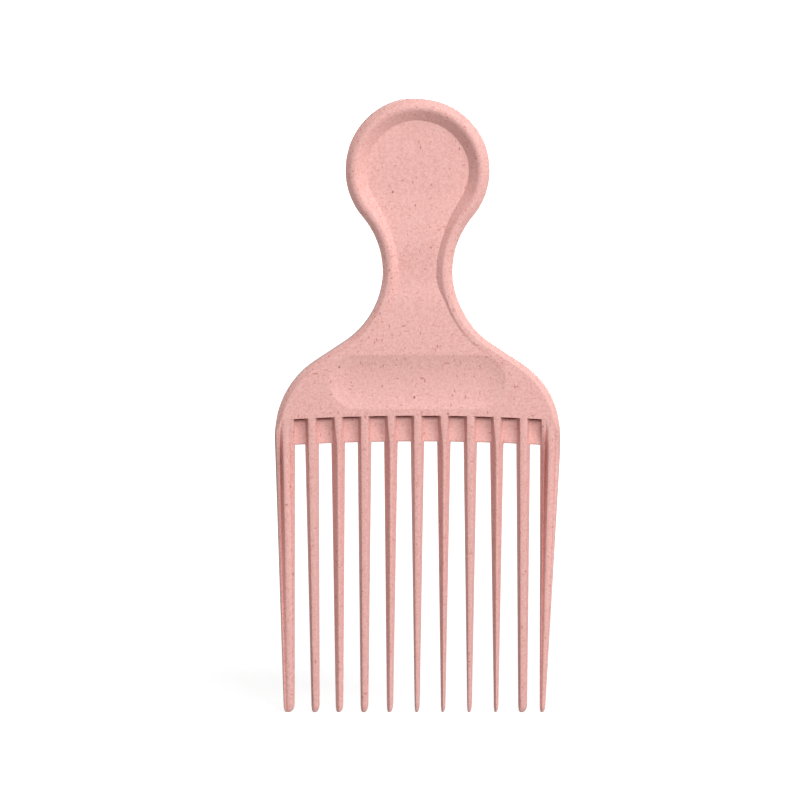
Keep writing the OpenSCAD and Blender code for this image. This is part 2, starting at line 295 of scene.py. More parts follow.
class StudioSettings(bpy.types.PropertyGroup):
    """Camera, lamps and floor."""

    lens: FloatProperty(
        name="Focal length", description="Focal length of the camera, in millimetres",
        default=328, min=1, unit="CAMERA")
    distance: length("Camera distance", "From the camera to the point that it looks at", 2.0)
    rise: FloatProperty(
        name="Camera rise", description="How far the camera looks down", default=math.radians(7.5),
        unit="ROTATION")
    aim: FloatVectorProperty(
        name="Aim", description="The point that the camera looks at", size=3, unit="LENGTH",
        default=(-0.0048, 0, 0.0868))
    front_power: power("Front lamp", "Power of the low lamp in front", 13.4)
    top_power: power("Top lamp", "Power of the high lamp at the front right", 32.6)
    side_power: power("Side lamp", "Power of the low lamp at the right", 17.3)
    back_power: power("Back lamp", "Power of the lamp behind the pick", 23.0)
    ambient: FloatProperty(
        name="Ambient light", description="Strength of the even light from all round",
        default=0.09, min=0)
    floor: colour("Floor", "Colour of the floor", (0.65, 0.65, 0.65))
    floor_glow: FloatProperty(
        name="Floor glow", description="Light of its own that the floor shows near the pick",
        default=0.78, min=0)


class PickShape:
    """The pick's form in millimetres, worked out from its sizes."""

    def __init__(self, sizes):
        for name in PickSizes.__annotations__:
            value = getattr(sizes, name)
            setattr(self, name, value if name.endswith("_share") else value / MM)
        self.half_t = self.body_t / 2
        self.half_w = self.comb_w / 2
        self.recess_d = (self.body_t - self.floor_t) / 2
        self.crest_u = self.edge_w + self.crest_w
        self.head_z = self.total_h - self.head_r
        self.waist_x = self.neck_w / 2 + self.waist_r
        self.waist_z = self.head_z - leg(self.head_r + self.waist_r, self.waist_x)
        self.shoulder_x = self.half_w - self.shoulder_r
        radii = self.waist_r + self.shoulder_r
        self.shoulder_z = self.waist_z - leg(
            math.hypot(radii, self.flank_l), self.waist_x - self.shoulder_x)
        self.head_a = math.atan2(self.waist_z - self.head_z, self.waist_x)
        self.waist_a = 2 * math.pi + math.atan2(
            self.shoulder_z - self.waist_z, self.shoulder_x - self.waist_x) - math.atan2(
            self.flank_l, radii)
        self.ramp_z = self.waist_z - self.ramp_drop
        self.arch_z = self.shoulder_z + self.arch_rise
        self.arch_r = (self.half_w**2 + self.arch_fall**2) / (2 * self.arch_fall)
        self.dish_r = ((self.dish_h / 2) ** 2 + self.dish_d**2) / (2 * self.dish_d)
        self.dish_z = self.arch_z + self.dish_gap + self.dish_h / 2
        self.dish_end_x = (self.dish_l - self.dish_h) / 2

    def rim_width(self, z):
        """Width of the rim where the outline has the height z, wider towards the head's top."""
        neck_to_head = eased((z - self.waist_z - WIDENS_FROM) / WIDENS_OVER)
        side_to_top = eased((z - self.head_z) / (TOP_RIM_OVER * self.head_r))
        return (mix(self.neck_rim_w, self.head_rim_w, neck_to_head)
                + (self.top_rim_w - self.head_rim_w) * side_to_top)

    def station(self, x, z, r, a, inwards):
        """A point on the outline's right half, the way inwards, and the rim's width there."""
        c, s = math.cos(a), math.sin(a)
        return (x + r * c, z + r * s, inwards * c, inwards * s, self.rim_width(z + r * s))

    def neck_stations(self):
        """From the shoulders up the flank and the hollow to the head, closer together at first."""
        x, z, inwards_x, inwards_z, rim_w = self.station(
            self.waist_x, self.waist_z, self.waist_r, self.waist_a, 1)
        flank = []
        for k in range(FLANK_ROWS):
            along = self.flank_l * (1 - k / FLANK_ROWS)
            flank.append((
                x - along * inwards_z, z + along * inwards_x, inwards_x, inwards_z, rim_w))
        return flank + [
            self.station(
                self.waist_x, self.waist_z, self.waist_r,
                mix(self.waist_a, math.pi + self.head_a, (k / NECK_ROWS) ** NECK_CROWDING), 1)
            for k in range(NECK_ROWS + 1)]

    def head_stations(self):
        """From the neck up the right side of the head to its top."""
        return [
            self.station(
                0, self.head_z, self.head_r, mix(self.head_a, math.pi / 2, k / HEAD_ROWS), -1)
            for k in range(HEAD_ROWS + 1)]

    def depth_share(self, st):
        """Share of the recess's full depth at a station: all of it in the head, less along the
        neck, then a short rise and a long faint ramp to the shoulders."""
        z = st[1] + self.crest_u * st[3]
        neck = mix(self.neck_share, 1, eased((z - self.waist_z - DEEPENS_FROM) / DEEPENS_OVER))
        ramp = self.ramp_share * held((z - self.ramp_z + self.ramp_h) / self.ramp_h)
        return mix(ramp, neck, eased((z - self.ramp_z) / DROPS_OVER))

    def foot_u(self, st):
        """Distance inwards to the foot of the rim's slope, which is narrower beside the ramp."""
        z = st[1] + self.crest_u * st[3]
        return mix(
            self.crest_u, st[4], mix(NARROW_SLOPE, 1, eased((z - self.ramp_z) / SLOPE_OVER)))

    def floor_y(self, st):
        return self.half_t - self.recess_d * self.depth_share(st)

    def softness(self, z):
        """How soft the edge is: rounded round the head, crisp on the shoulders."""
        return eased((z - self.ramp_z) / SOFTENS_OVER)

    def edge_y(self, u, softness=0.0):
        """Half thickness at the distance u inwards from the outline, where nothing is recessed."""
        q = u / self.bevel_w
        straight, end = BEVEL_POINTS[2], BEVEL_POINTS[-1]
        bevel = 1 - q if q < straight else max(0.0, end - q) ** 2 / (2 * (end - straight))
        past = held((u - self.bevel_w) / (self.edge_w - self.bevel_w))
        return self.half_t - self.bevel_d * bevel - self.soft_d * softness * (1 - past) ** 2

    def edge_points(self):
        """Distances inwards from the outline of the points over the edge."""
        bevel = [self.bevel_w * q for q in BEVEL_POINTS]
        return bevel + [
            mix(bevel[-1], self.edge_w, (k + 1) / CREST_POINTS) for k in range(CREST_POINTS)]

    def rim_section(self, st):
        """From the outline over the crest down to the floor: distance inwards, half thickness."""
        share, foot = self.depth_share(st), self.foot_u(st)
        softness = self.softness(st[1])
        points = [(u, self.edge_y(u, softness)) for u in self.edge_points()]
        for k in range(SLOPE_POINTS):
            t = k / (SLOPE_POINTS - 1)
            points.append((
                mix(self.crest_u, foot, t), self.half_t - self.recess_d * share * slope_fall(t)))
        return points

    def dish_y(self, x, z):
        """How far the front face stands from the mid-plane where the dish is cut."""
        past = max(0.0, abs(x) - self.dish_end_x)
        off = (z - self.dish_z) ** 2 + past * past
        if off >= self.dish_r**2:
            return self.half_t
        return self.half_t - self.dish_d + self.dish_r - math.sqrt(self.dish_r**2 - off)

    def front(self, x, y, z):
        return (x, -min(y, self.dish_y(x, z)), z)

    def arch(self, x):
        """Height of the arch above the roots."""
        return self.arch_z - self.arch_r + leg(self.arch_r, x)

    def outline_x(self, z):
        if z < self.shoulder_z:
            return self.half_w
        return self.shoulder_x + leg(self.shoulder_r, z - self.shoulder_z)

    def taper(self, z):
        """How far down a tooth the height z is, from 0 at the arch to 1 at the tip."""
        return held((self.arch_z - z) / (self.arch_z - self.tip_l))

    def wide(self, i, z):
        whole = self.outer_w * OUTER_ROOTS[i][0] if i in OUTER_ROOTS else self.tooth_w
        return whole * mix(1, TIP_WIDTH[i], self.taper(z))

    def place(self, i, z):
        root = i - MIDDLE + (OUTER_ROOTS[i][1] if i in OUTER_ROOTS else 0)
        return self.pitch * (root + TIP_SHIFT[i] * self.taper(z))

    def fade(self, z):
        """How far the step back from the shoulder face has gone."""
        return eased((self.arch_z - z) / (2 * self.web_h))

    def deep(self, i, z):
        if i % 2:
            return mix(self.body_t, self.flat_tip_t, self.taper(z))
        root = self.body_t * mix(1, RIDGE_DEPTH, self.fade(z))
        return mix(root, self.ridge_tip_t, self.taper(z))

    def tip(self, z):
        """Size of the section near the tip, of the full one."""
        if z >= self.tip_l:
            return 1.0
        return mix(TIP_END, 1, math.sqrt(1 - (1 - z / self.tip_l) ** 2))

    def low_y(self, side, top_y):
        """Half depth of the point on a tooth's flank that lies on the web."""
        return min(self.web_t / 2, mix(side, top_y, 0.5))

    def inner_section(self, i, a, b, z):
        """Front of an inner tooth from its left side to its right: flat ones keep a broad land, and
        ridged ones narrow to a round crest below the shoulder."""
        side, land, reach = SIDE * b, FLAT_LAND, FLAT_REACH
        if i % 2 == 0:
            narrowed = eased((self.arch_z - z) / RIDGE_OVER)
            land, reach = mix(land, RIDGE_LAND, narrowed), mix(reach, RIDGE_REACH, narrowed)
        corner = (land * a, b)
        land_reach = min(LAND_REACH_MOST, LAND_REACH * reach)
        curve = rounded(corner, (0, b), (a, side), land_reach, reach)
        top = curve[-1]
        low_y = self.low_y(side, top[1])
        low = (mix(a, top[0], (low_y - side) / (top[1] - side)), low_y)
        right = curve + [low, (a, side)]
        return [(-x, y) for x, y in reversed(right)] + [(0, b)] + right

    def outer_section(self, i, a, b, z):
        """Front of an outer tooth: a sloping strip, a ridge between two grooves, and a strip that
        ends in the bevel of the outline."""
        fade = self.fade(z)
        start = self.arch_z - STRIPS_FROM
        run = held((start - z) / (start - self.strips_end))
        strip = mix(b, mix(*STRIP_DEPTH, run) * b, fade)
        side, lip, crest, edge = SIDE * b, LIP * a, CREST * a, INNER_EDGE * a
        foot = mix(*RIDGE_FOOT, run) * a
        inner_foot = min(foot, INNER_FOOT * a)
        groove = mix(*GROOVE_DEPTH, run) * b * fade
        inner_y, outer_y = strip - groove, strip - LESSER_GROOVE * groove
        if i == 0:
            inner_y, outer_y = outer_y, inner_y
        top_y = strip - fade * INNER_FALL * (edge - inner_foot - lip)
        low_y = self.low_y(side, top_y)
        points = [
            (-a, side), (mix(-a, -edge, (low_y - side) / (top_y - side)), low_y),
            (-edge, top_y), (-inner_foot - lip, strip), (-inner_foot, inner_y)]
        points += rounded((-crest, b), (-inner_foot, inner_y), (0, b), FOOT_REACH, CREST_REACH)
        points += [(0, b)]
        points += rounded((crest, b), (0, b), (foot, outer_y), CREST_REACH, FOOT_REACH)
        points += [(foot, outer_y), (foot + lip, strip)]
        room = a - foot - lip
        past = [
            room - self.bevel_w * q * min(1, room / (BEVEL_ROOM * self.bevel_w))
            for q in BEVEL_POINTS]
        points += [
            (foot + lip + l, strip - fade * OUTER_FALL * l)
            for l in [past[-1] / 2] + past[::-1]]
        own = eased((self.arch_z - CORNER_FROM - z) / CORNER_OVER)
        low = CORNER_DEPTH * strip
        shaped = []
        for x, y in points:
            u = a - x
            corner = low + (b - low) * math.sqrt(1 - (1 - held(u / (CORNER_WIDTH * a))) ** 2)
            shaped.append((x, min(y, mix(self.edge_y(u), corner, own))))
        if i == 0:
            shaped = [(-x, y) for x, y in reversed(shaped)]
        return shaped

    def section(self, i, z):
        """Front of tooth i at the height z: places across and half depths, left to right."""
        size = self.tip(z)
        a, b = self.wide(i, z) / 2 * size, self.deep(i, z) / 2 * size
        middle = self.place(i, z) - TIP_CUT * (1 - size) * self.wide(i, z) / 2
        if i in OUTER_ROOTS:
            trimmed = max(0, abs(middle) + a - self.outline_x(z)) / 2
            middle, a = math.copysign(abs(middle) - trimmed, middle), a - trimmed
            points = self.outer_section(i, a, b, z)
        else:
            points = self.inner_section(i, a, b, z)
        return [(middle + x, y) for x, y in points]

    def root_row(self, below):
        """The columns of a row that follows the arch at a depth below it: a list of
        (x, z, half depth of a tooth or None in a gap)."""
        teeth = []
        for i in range(TEETH):
            z = self.arch(min(abs(self.place(i, self.arch_z)), self.half_w)) - below
            teeth.append([(x, self.arch(x) - below, y) for x, y in self.section(i, z)])
        row = []
        for i, tooth in enumerate(teeth):
            row += tooth
            if i + 1 < TEETH:
                left, right = tooth[-1][0], teeth[i + 1][0][0]
                for k in range(1, GAP_POINTS + 1):
                    x = mix(left, right, k / (GAP_POINTS + 1))
                    row.append((x, self.arch(x) - below, None))
        return row

    def root_depths(self):
        """Depths below the arch of the rows over the web: closer together at its slot."""
        slot = [self.slot_h * at for at, _ in SLOT_FORM]
        even = [
            mix(slot[-1], self.web_h - self.web_bevel, k / ROOT_ROWS)
            for k in range(ROOT_ROWS + 1)]
        return slot[:-1] + even + [self.web_h]

    def web_y(self, below):
        """Half thickness of the web at a depth below the arch: a slot under the step of the
        shoulders, the flat web, and a bevel along its lower edge."""
        slot = float(np.interp(below / self.slot_h, *zip(*SLOT_FORM)))
        bevel = held((below - self.web_h + self.web_bevel) / self.web_bevel)
        return self.web_t / 2 - self.slot_d * slot - WEB_BEVEL_DEPTH * self.web_bevel * bevel

    def tooth_columns(self):
        """First and last column of each tooth in a root row."""
        spans, at = [], 0
        for i in range(TEETH):
            count = len(self.section(i, self.arch_z))
            spans.append((at, at + count - 1))
            at += count + GAP_POINTS
        return spans


class Moulding:
    """The pick's surface as faces of named pieces, on one set of points. Skin faces are the
    outside, and meeting faces close each piece where it meets the next."""

    def __init__(self, sizes):
        self.shape = PickShape(sizes)
        self.points, self.index = [], {}
        self.skin, self.meeting = [], []
        self.lay_out()

    def point(self, p):
        key = tuple(round(c * KEYS_PER_MM) for c in p)
        if key not in self.index:
            self.index[key] = len(self.points)
            self.points.append(tuple(c * MM for c in p))
        return self.index[key]

    def face(self, piece, points, skin=True):
        corners = []
        for p in points:
            k = self.point(p)
            if k not in corners:
                corners.append(k)
        if len(corners) > 2:
            (self.skin if skin else self.meeting).append((piece, corners))

    def grid(self, piece, rows, skin=True):
        for lower, upper in zip(rows, rows[1:]):
            for k in range(len(lower) - 1):
                self.face(piece, (lower[k], lower[k + 1], upper[k + 1], upper[k]), skin)

    def both_faces(self, piece, rows):
        """A grid on the front and the same on the back, from rows of (x, half depth, z)."""
        self.grid(piece, [[self.shape.front(*p) for p in row] for row in rows])
        self.grid(piece, rows)

    def through(self, piece, row, skin=False):
        """The face through the thickness along a row."""
        self.grid(piece, [[self.shape.front(*p) for p in row], row], skin)

    def lay_out(self):
        shape = self.shape
        arch_row = shape.root_row(0)
        rim_count = len(BEVEL_POINTS) + CREST_POINTS + SLOPE_POINTS
        inner_count = len(arch_row) - 2 * rim_count
        spread = [mix(-1, 1, (k + 1) / (inner_count + 1)) for k in range(inner_count)]

        def rim_row(st, side):
            return [
                (side * (st[0] + u * st[2]), y, st[1] + u * st[3])
                for u, y in shape.rim_section(st)]

        def floor_row(st):
            foot, y = shape.foot_u(st), shape.floor_y(st)
            x, z = st[0] + foot * st[2], st[1] + foot * st[3]
            return [(x * c, y, z) for c in [-1] + spread + [1]]

        neck, head = shape.neck_stations(), shape.head_stations()
        for side, rail in ((1, "neck_rail_right"), (-1, "neck_rail_left")):
            for piece, stations in ((rail, neck), ("head_rim", head)):
                rows = [rim_row(st, side) for st in stations]
                self.both_faces(piece, rows)
                self.through(piece, [row[0] for row in rows], True)
                for beside in (piece, "grip_floor"):
                    self.through(beside, [row[-1] for row in rows])
            for piece, st in ((rail, neck[0]), (rail, neck[-1]), ("head_rim", head[0])):
                self.through(piece, rim_row(st, side))
        self.both_faces("grip_floor", [floor_row(st) for st in neck[:-1] + head])
        self.through("grip_floor", floor_row(neck[0]))

        # Shoulders: the rows turn from level ones into rows that follow the arch, and their columns
        # from the rim's points into those of the teeth
        foot = shape.foot_u(neck[0])
        side_z = arch_row[0][1]
        end_a = math.asin((side_z - shape.shoulder_z) / shape.shoulder_r)
        lean = math.asin(shape.half_w / shape.arch_r)
        end_foot = arch_row[-1][0] - foot * math.cos(lean)
        from_rim = [2 - u / foot for u, _ in shape.rim_section(neck[0])]
        top_columns = [-c for c in from_rim] + spread + list(reversed(from_rim))
        arch_columns = []
        for x, _, _ in arch_row:
            u = (arch_row[-1][0] - abs(x)) / math.cos(lean)
            c = 2 - u / foot if u < foot else abs(x) / end_foot
            arch_columns.append(math.copysign(c, x))

        def shoulder_row(t):
            a = mix(shape.waist_a - math.pi, end_a, t)
            x, z = (shape.shoulder_x + shape.shoulder_r * math.cos(a),
                    shape.shoulder_z + shape.shoulder_r * math.sin(a))
            inwards = mix(math.pi + a, math.pi - lean, t * t)
            foot_x, foot_z = x + foot * math.cos(inwards), z + foot * math.sin(inwards)
            bend = eased(t) / (2 * shape.arch_r)
            row = []
            for top, low in zip(top_columns, arch_columns):
                c = mix(top, low, eased(t))
                if abs(c) > 1:
                    u = (2 - abs(c)) * foot
                    row.append((
                        math.copysign(x + u * math.cos(inwards), c), shape.edge_y(u),
                        z + u * math.sin(inwards)))
                else:
                    row.append((
                        c * foot_x, shape.half_t, foot_z + bend * (1 - c * c) * foot_x**2))
            return row

        def body_row(row):
            """The uncut face above the roots."""
            return [(x, shape.edge_y(row[-1][0] - abs(x)), z) for x, z, _ in row]

        rows = [shoulder_row(k / SHOULDER_ROWS) for k in range(SHOULDER_ROWS)]
        rows.append(body_row(arch_row))
        self.both_faces("shoulder", rows)
        self.through("shoulder", rows[0])
        self.through("shoulder", rows[-1])
        for end in (0, -1):
            self.through("shoulder", [row[end] for row in rows], True)

        # Root bar: the step under the shoulders, the web and the roots on it
        def bar_row(row, below):
            web_y = shape.web_y(below)
            return [(x, max(web_y, y if y is not None else 0), z) for x, z, y in row]

        depths = shape.root_depths()
        root_rows = [shape.root_row(below) for below in depths]
        rows = [body_row(arch_row)] + [
            bar_row(row, below) for row, below in zip(root_rows, depths)]
        self.both_faces("root_bar", rows)
        self.through("root_bar", rows[0])
        for end in (0, -1):
            self.through("root_bar", [row[end] for row in rows], True)
        under = [
            (x, y if y is not None else SIDE * shape.half_t, z) for x, z, y in root_rows[-1]]
        self.both_faces("root_bar", [rows[-1], under])
        spans = shape.tooth_columns()
        for first, last in spans:
            self.through("root_bar", under[first:last + 1])
        for (_, last), (first, _) in zip(spans, spans[1:]):
            self.through("root_bar", under[last:first + 1], True)

        # Teeth, from the underside of the bar to the tips
        for i, (first, last) in enumerate(spans):
            self.tooth(i, under[first:last + 1])

    def tooth(self, i, top):
        shape = self.shape
        name = f"tooth_{i + 1:02d}"
        start = sum(p[2] for p in top) / len(top)
        heights = [
            mix(start, shape.tip_l, (k / TOOTH_ROWS) ** TOOTH_CROWDING)
            for k in range(1, TOOTH_ROWS + 1)]
        heights += [
            shape.tip_l * (1 - math.sin(math.pi / 2 * k / TIP_ROWS))
            for k in range(1, TIP_ROWS + 1)]
        rows = [top]
        for z in heights:
            arched = 1 - eased((start - z) / LEVELS_OVER)
            rows.append([
                (x, y, z + (p[2] - start) * arched)
                for (x, y), p in zip(shape.section(i, z), top)])
        rings = [[(x, -y, z) for x, y, z in row] + row[::-1] for row in rows]
        self.grid(name, [ring + ring[:1] for ring in rings])
        self.through(name, top)
        self.face(name, rings[-1])

    def build(self):
        """One mesh for each piece, with the normals of the whole surface."""
        whole = bpy.data.meshes.new("whole_surface")
        whole.from_pydata(self.points, [], [corners for _, corners in self.skin])
        turn_outwards(whole)
        whole.shade_smooth()
        whole.set_sharp_from_angle(angle=CRISP_ANGLE)
        normals = np.empty(len(whole.loops) * 3)
        whole.corner_normals.foreach_get("vector", normals)
        normals = normals.reshape(-1, 3)
        shaded = {}
        for polygon in whole.polygons:
            for loop in polygon.loop_indices:
                shaded[polygon.index, whole.loops[loop].vertex_index] = normals[loop]
        bpy.data.meshes.remove(whole)

        parts = {}
        for number, (piece, corners) in enumerate(self.skin):
            parts.setdefault(piece, []).append((number, corners))
        for piece, corners in self.meeting:
            parts[piece].append((None, corners))
        meshes = {}
        for piece, faces in parts.items():
            used = sorted({k for _, corners in faces for k in corners})
            local = {k: n for n, k in enumerate(used)}
            mesh = bpy.data.meshes.new(piece)
            mesh.from_pydata(
                [self.points[k] for k in used], [],
                [[local[k] for k in corners] for _, corners in faces])
            turn_outwards(mesh)
            mesh.shade_smooth()
            loops = []
            for polygon in mesh.polygons:
                number = faces[polygon.index][0]
                for v in polygon.vertices:
                    loops.append(
                        polygon.normal if number is None else shaded[number, used[v]])
            mesh.normals_split_custom_set(loops)
            meshes[piece] = mesh
        return meshes


def turn_outwards(mesh):
    build = bmesh.new()
    build.from_mesh(mesh)
    bmesh.ops.recalc_face_normals(build, faces=build.faces)
    build.to_mesh(mesh)
    build.free()


built = {}


def moulded_mesh(context, piece):
    """The mesh of a piece, from the surface that all pieces share."""
    if not built:
        built.update(Moulding(context.scene.pick_sizes).build())
    return built[piece]


def add_piece(context, piece):
    """Adds a piece in the place of its CAD node."""
    obj = bpy.data.objects.new(f"moulded_{piece}", moulded_mesh(context, piece))
    context.scene.collection.objects.link(obj)
    obj.data.materials.append(flecked_plastic(context))
    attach(obj, "root")
    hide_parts(piece)


# Materials


def linear(colour):
    """A colour as written, turned into the values that a shader takes."""
    return tuple(
        c / 12.92 if c <= 0.04045 else ((c + 0.055) / 1.055) ** 2.4 for c in colour) + (1.0,)


def tinted(colour, factors):
    """A colour with its channels multiplied."""
    return tuple(min(1.0, c * f) for c, f in zip(colour, factors)) + (1.0,)


def new_group(name, inputs, outputs):
    """A node group with its sockets, and its input and output nodes."""
    group = bpy.data.node_groups.new(name, "ShaderNodeTree")
    for label, kind, value in inputs:
        socket = group.interface.new_socket(name=label, in_out="INPUT", socket_type=kind)
        socket.default_value = value
    for label, kind in outputs:
        group.interface.new_socket(name=label, in_out="OUTPUT", socket_type=kind)
    return group, group.nodes.new("NodeGroupInput"), group.nodes.new("NodeGroupOutput")


def add_node(tree, kind, *values, **settings):
    """A node with its settings and its first inputs in order: each is a fixed value, the output of
    another node, or None to leave it alone."""
    node = tree.nodes.new(f"ShaderNode{kind}")
    for name, setting in settings.items():
        setattr(node, name, setting)
    for socket, value in zip(node.inputs, values):
        if hasattr(value, "links"):
            tree.links.new(value, socket)
        elif value is not None:
            socket.default_value = value
    return node


def math_node(tree, operation, *values, clamp=False):
    return add_node(tree, "Math", *values, operation=operation, use_clamp=clamp).outputs[0]


def spread_node(tree, value, low, high, to_low=0.0, to_high=1.0, smooth=True):
    """A value moved from one span to another."""
    return add_node(
        tree, "MapRange", value, low, high, to_low, to_high,
        interpolation_type="SMOOTHSTEP" if smooth else "LINEAR").outputs["Result"]


def noise_node(tree, vector, scale, detail=2.0, roughness=0.5):
    return add_node(tree, "TexNoise", vector, None, scale, detail, roughness)


def fleck_group():
    """Flecks of straw: a mask of short fibres cut at the surface, with some cells left empty."""
    name = "straw_flecks"
    if name in bpy.data.node_groups:
        return bpy.data.node_groups[name]
    group, given, result = new_group(
        name,
        [("Cells per Metre", "NodeSocketFloat", 900.0), ("Filled Share", "NodeSocketFloat", 0.4),
         ("Fleck Size", "NodeSocketFloat", 0.3), ("Stretch", "NodeSocketVector", (1.0, 1.0, 1.0)),
         ("Turn", "NodeSocketVector", (0.0, 0.0, 0.0))],
        [("Mask", "NodeSocketFloat")])
    place = add_node(group, "TexCoord").outputs["Object"]
    wander = noise_node(group, place, WANDER_SCALE, 1.0)
    swayed = add_node(
        group, "VectorMath", wander.outputs["Color"], (WANDER,) * 3, place,
        operation="MULTIPLY_ADD")
    turned = add_node(
        group, "Mapping", swayed.outputs[0], None, given.outputs["Turn"], given.outputs["Stretch"])
    cells = add_node(
        group, "TexVoronoi", turned.outputs[0], None, given.outputs["Cells per Metre"])
    parts = add_node(group, "SeparateColor", cells.outputs["Color"])
    filled = math_node(group, "LESS_THAN", parts.outputs[0], given.outputs["Filled Share"])
    size = math_node(
        group, "MULTIPLY", given.outputs["Fleck Size"],
        math_node(group, "MULTIPLY_ADD", parts.outputs[1], 1 - SMALLEST, SMALLEST))
    inside = spread_node(
        group, cells.outputs["Distance"], math_node(group, "MULTIPLY", size, EVEN), size, 1.0, 0.0)
    strength = math_node(group, "MULTIPLY_ADD", parts.outputs[2], 1 - FAINTEST, FAINTEST)
    group.links.new(
        math_node(
            group, "MULTIPLY", math_node(group, "MULTIPLY", filled, inside), strength, clamp=True),
        result.inputs[0])
    return group


def grain_group():
    """The fine texture that the mould leaves: height for a bump, and a mottle of the colour."""
    name = "moulded_grain"
    if name in bpy.data.node_groups:
        return bpy.data.node_groups[name]
    group, given, result = new_group(
        name,
        [("Fine Scale", "NodeSocketFloat", 4200.0), ("Mottle Scale", "NodeSocketFloat", 1500.0)],
        [("Height", "NodeSocketFloat"), ("Cloud", "NodeSocketFloat")])
    place = add_node(group, "TexCoord").outputs["Object"]
    fine = noise_node(group, place, given.outputs["Fine Scale"], 3.0, 0.6)
    broad = noise_node(group, place, given.outputs["Mottle Scale"], 2.0, 0.6)
    group.links.new(fine.outputs["Fac"], result.inputs[0])
    group.links.new(spread_node(group, broad.outputs["Fac"], *CLOUDS), result.inputs[1])
    return group


def mixed(tree, mask, under, over):
    """Two colours mixed by a mask. Each is a socket or a fixed colour."""
    node = add_node(tree, "Mix", mask, *[None] * 5, under, over, data_type="RGBA")
    return node.outputs[2]


def flecked_plastic(context):
    """Matt plastic with fine flecks of straw, a few darker husks and a faint mould texture."""
    name = "flecked_plastic"
    if name in bpy.data.materials:
        return bpy.data.materials[name]
    finish = context.scene.pick_finish
    material = bpy.data.materials.new(name)
    material.use_nodes = True
    tree = material.node_tree
    shader = tree.nodes["Principled BSDF"]
    plastic, straw, husk = linear(finish.plastic), linear(finish.straw), linear(finish.husk)

    grain = add_node(tree, "Group", node_tree=grain_group())
    dust, fibres, crossed, husks = [
        add_node(tree, "Group", *values, node_tree=fleck_group()).outputs["Mask"]
        for values in (DUST, FIBRES, CROSSED_FIBRES, HUSKS)]
    both = math_node(tree, "MAXIMUM", fibres, crossed)
    colour = mixed(tree, grain.outputs["Cloud"], tinted(plastic, DEEPER), tinted(plastic, PALER))
    for mask, strength, over in (
            (dust, DUST_STRENGTH, straw), (both, FIBRE_STRENGTH, straw),
            (husks, HUSK_STRENGTH, husk)):
        colour = mixed(tree, math_node(tree, "MULTIPLY", mask, strength), colour, over)
    tree.links.new(colour, shader.inputs["Base Color"])

    tree.links.new(
        spread_node(
            tree, grain.outputs["Cloud"], 0.0, 1.0, finish.roughness - SMOOTHER,
            finish.roughness + ROUGHER, smooth=False),
        shader.inputs["Roughness"])
    shader.inputs["Specular IOR Level"].default_value = 0.4

    height = math_node(tree, "MULTIPLY_ADD", husks, -HUSK_DEPTH, grain.outputs["Height"])
    bump = add_node(tree, "Bump")
    bump.inputs["Strength"].default_value = 0.25
    bump.inputs["Distance"].default_value = 0.00004
    tree.links.new(height, bump.inputs["Height"])
    tree.links.new(bump.outputs[0], shader.inputs["Normal"])
    return material


def seen_mask(tree):
    """A mask that is 1 for the camera, for reflections and for what shows through."""
    path = add_node(tree, "LightPath")
    return math_node(
        tree, "MAXIMUM", path.outputs["Is Camera Ray"],
        math_node(
            tree, "MAXIMUM", path.outputs["Is Glossy Ray"], path.outputs["Is Transmission Ray"]))


def floor_material(context):
    """White floor with a faint shadow: plain paint, and where it is seen light of its own, which
    is white further off."""
    material = bpy.data.materials.new("white_floor")
    material.use_nodes = True
    tree = material.node_tree
    shader = tree.nodes["Principled BSDF"]
    shader.inputs["Roughness"].default_value = 0.9
    shader.inputs["Specular IOR Level"].default_value = 0.0
    base = linear(context.scene.pick_studio.floor)
    place = add_node(tree, "TexCoord").outputs["Object"]
    mottle = noise_node(tree, place, 40.0, 3.0)
    tree.links.new(
        mixed(tree, spread_node(tree, mottle.outputs["Fac"], *CLOUDS), base,
              tinted(base, MOTTLED_FLOOR)),
        shader.inputs["Base Color"])
    far = add_node(tree, "VectorMath", place, operation="LENGTH")
    near_to_far = spread_node(
        tree, far.outputs["Value"], WHITE_FROM, WHITE_BY, context.scene.pick_studio.floor_glow)
    glow = add_node(
        tree, "Emission", (1, 1, 1, 1), math_node(tree, "MULTIPLY", seen_mask(tree), near_to_far))
    added = add_node(tree, "AddShader")
    tree.links.new(shader.outputs[0], added.inputs[0])
    tree.links.new(glow.outputs[0], added.inputs[1])
    tree.links.new(added.outputs[0], tree.nodes["Material Output"].inputs["Surface"])
    return material


# Operators


class PICK_OT_rim(bpy.types.Operator):
    """Build the raised rim: round the head and down both sides of the neck"""

    bl_idname = "pick.rim"
    bl_label = "Rim"

    def execute(self, context):
        for piece in ("head_rim", "neck_rail_left", "neck_rail_right"):
            add_piece(context, piece)
        return {"FINISHED"}


class PICK_OT_grip_floor(bpy.types.Operator):
    """Build the thin floor of the grip inside the rim"""

    bl_idname = "pick.grip_floor"
    bl_label = "Grip floor"

    def execute(self, context):
        add_piece(context, "grip_floor")
        return {"FINISHED"}


class PICK_OT_shoulder(bpy.types.Operator):
    """Build the wide plate of the shoulders with its shallow dish"""

    bl_idname = "pick.shoulder"
    bl_label = "Shoulders"

    def execute(self, context):
        add_piece(context, "shoulder")
        return {"FINISHED"}


class PICK_OT_root_bar(bpy.types.Operator):
    """Build the bar with the tooth roots and the thin web between them"""

    bl_idname = "pick.root_bar"
    bl_label = "Root bar"

    def execute(self, context):
        add_piece(context, "root_bar")
        return {"FINISHED"}


class PICK_OT_teeth(bpy.types.Operator):
    """Build the row of long tapering teeth"""

    bl_idname = "pick.teeth"
    bl_label = "Teeth"

    def execute(self, context):
        for i in range(TEETH):
            add_piece(context, f"tooth_{i + 1:02d}")
        return {"FINISHED"}


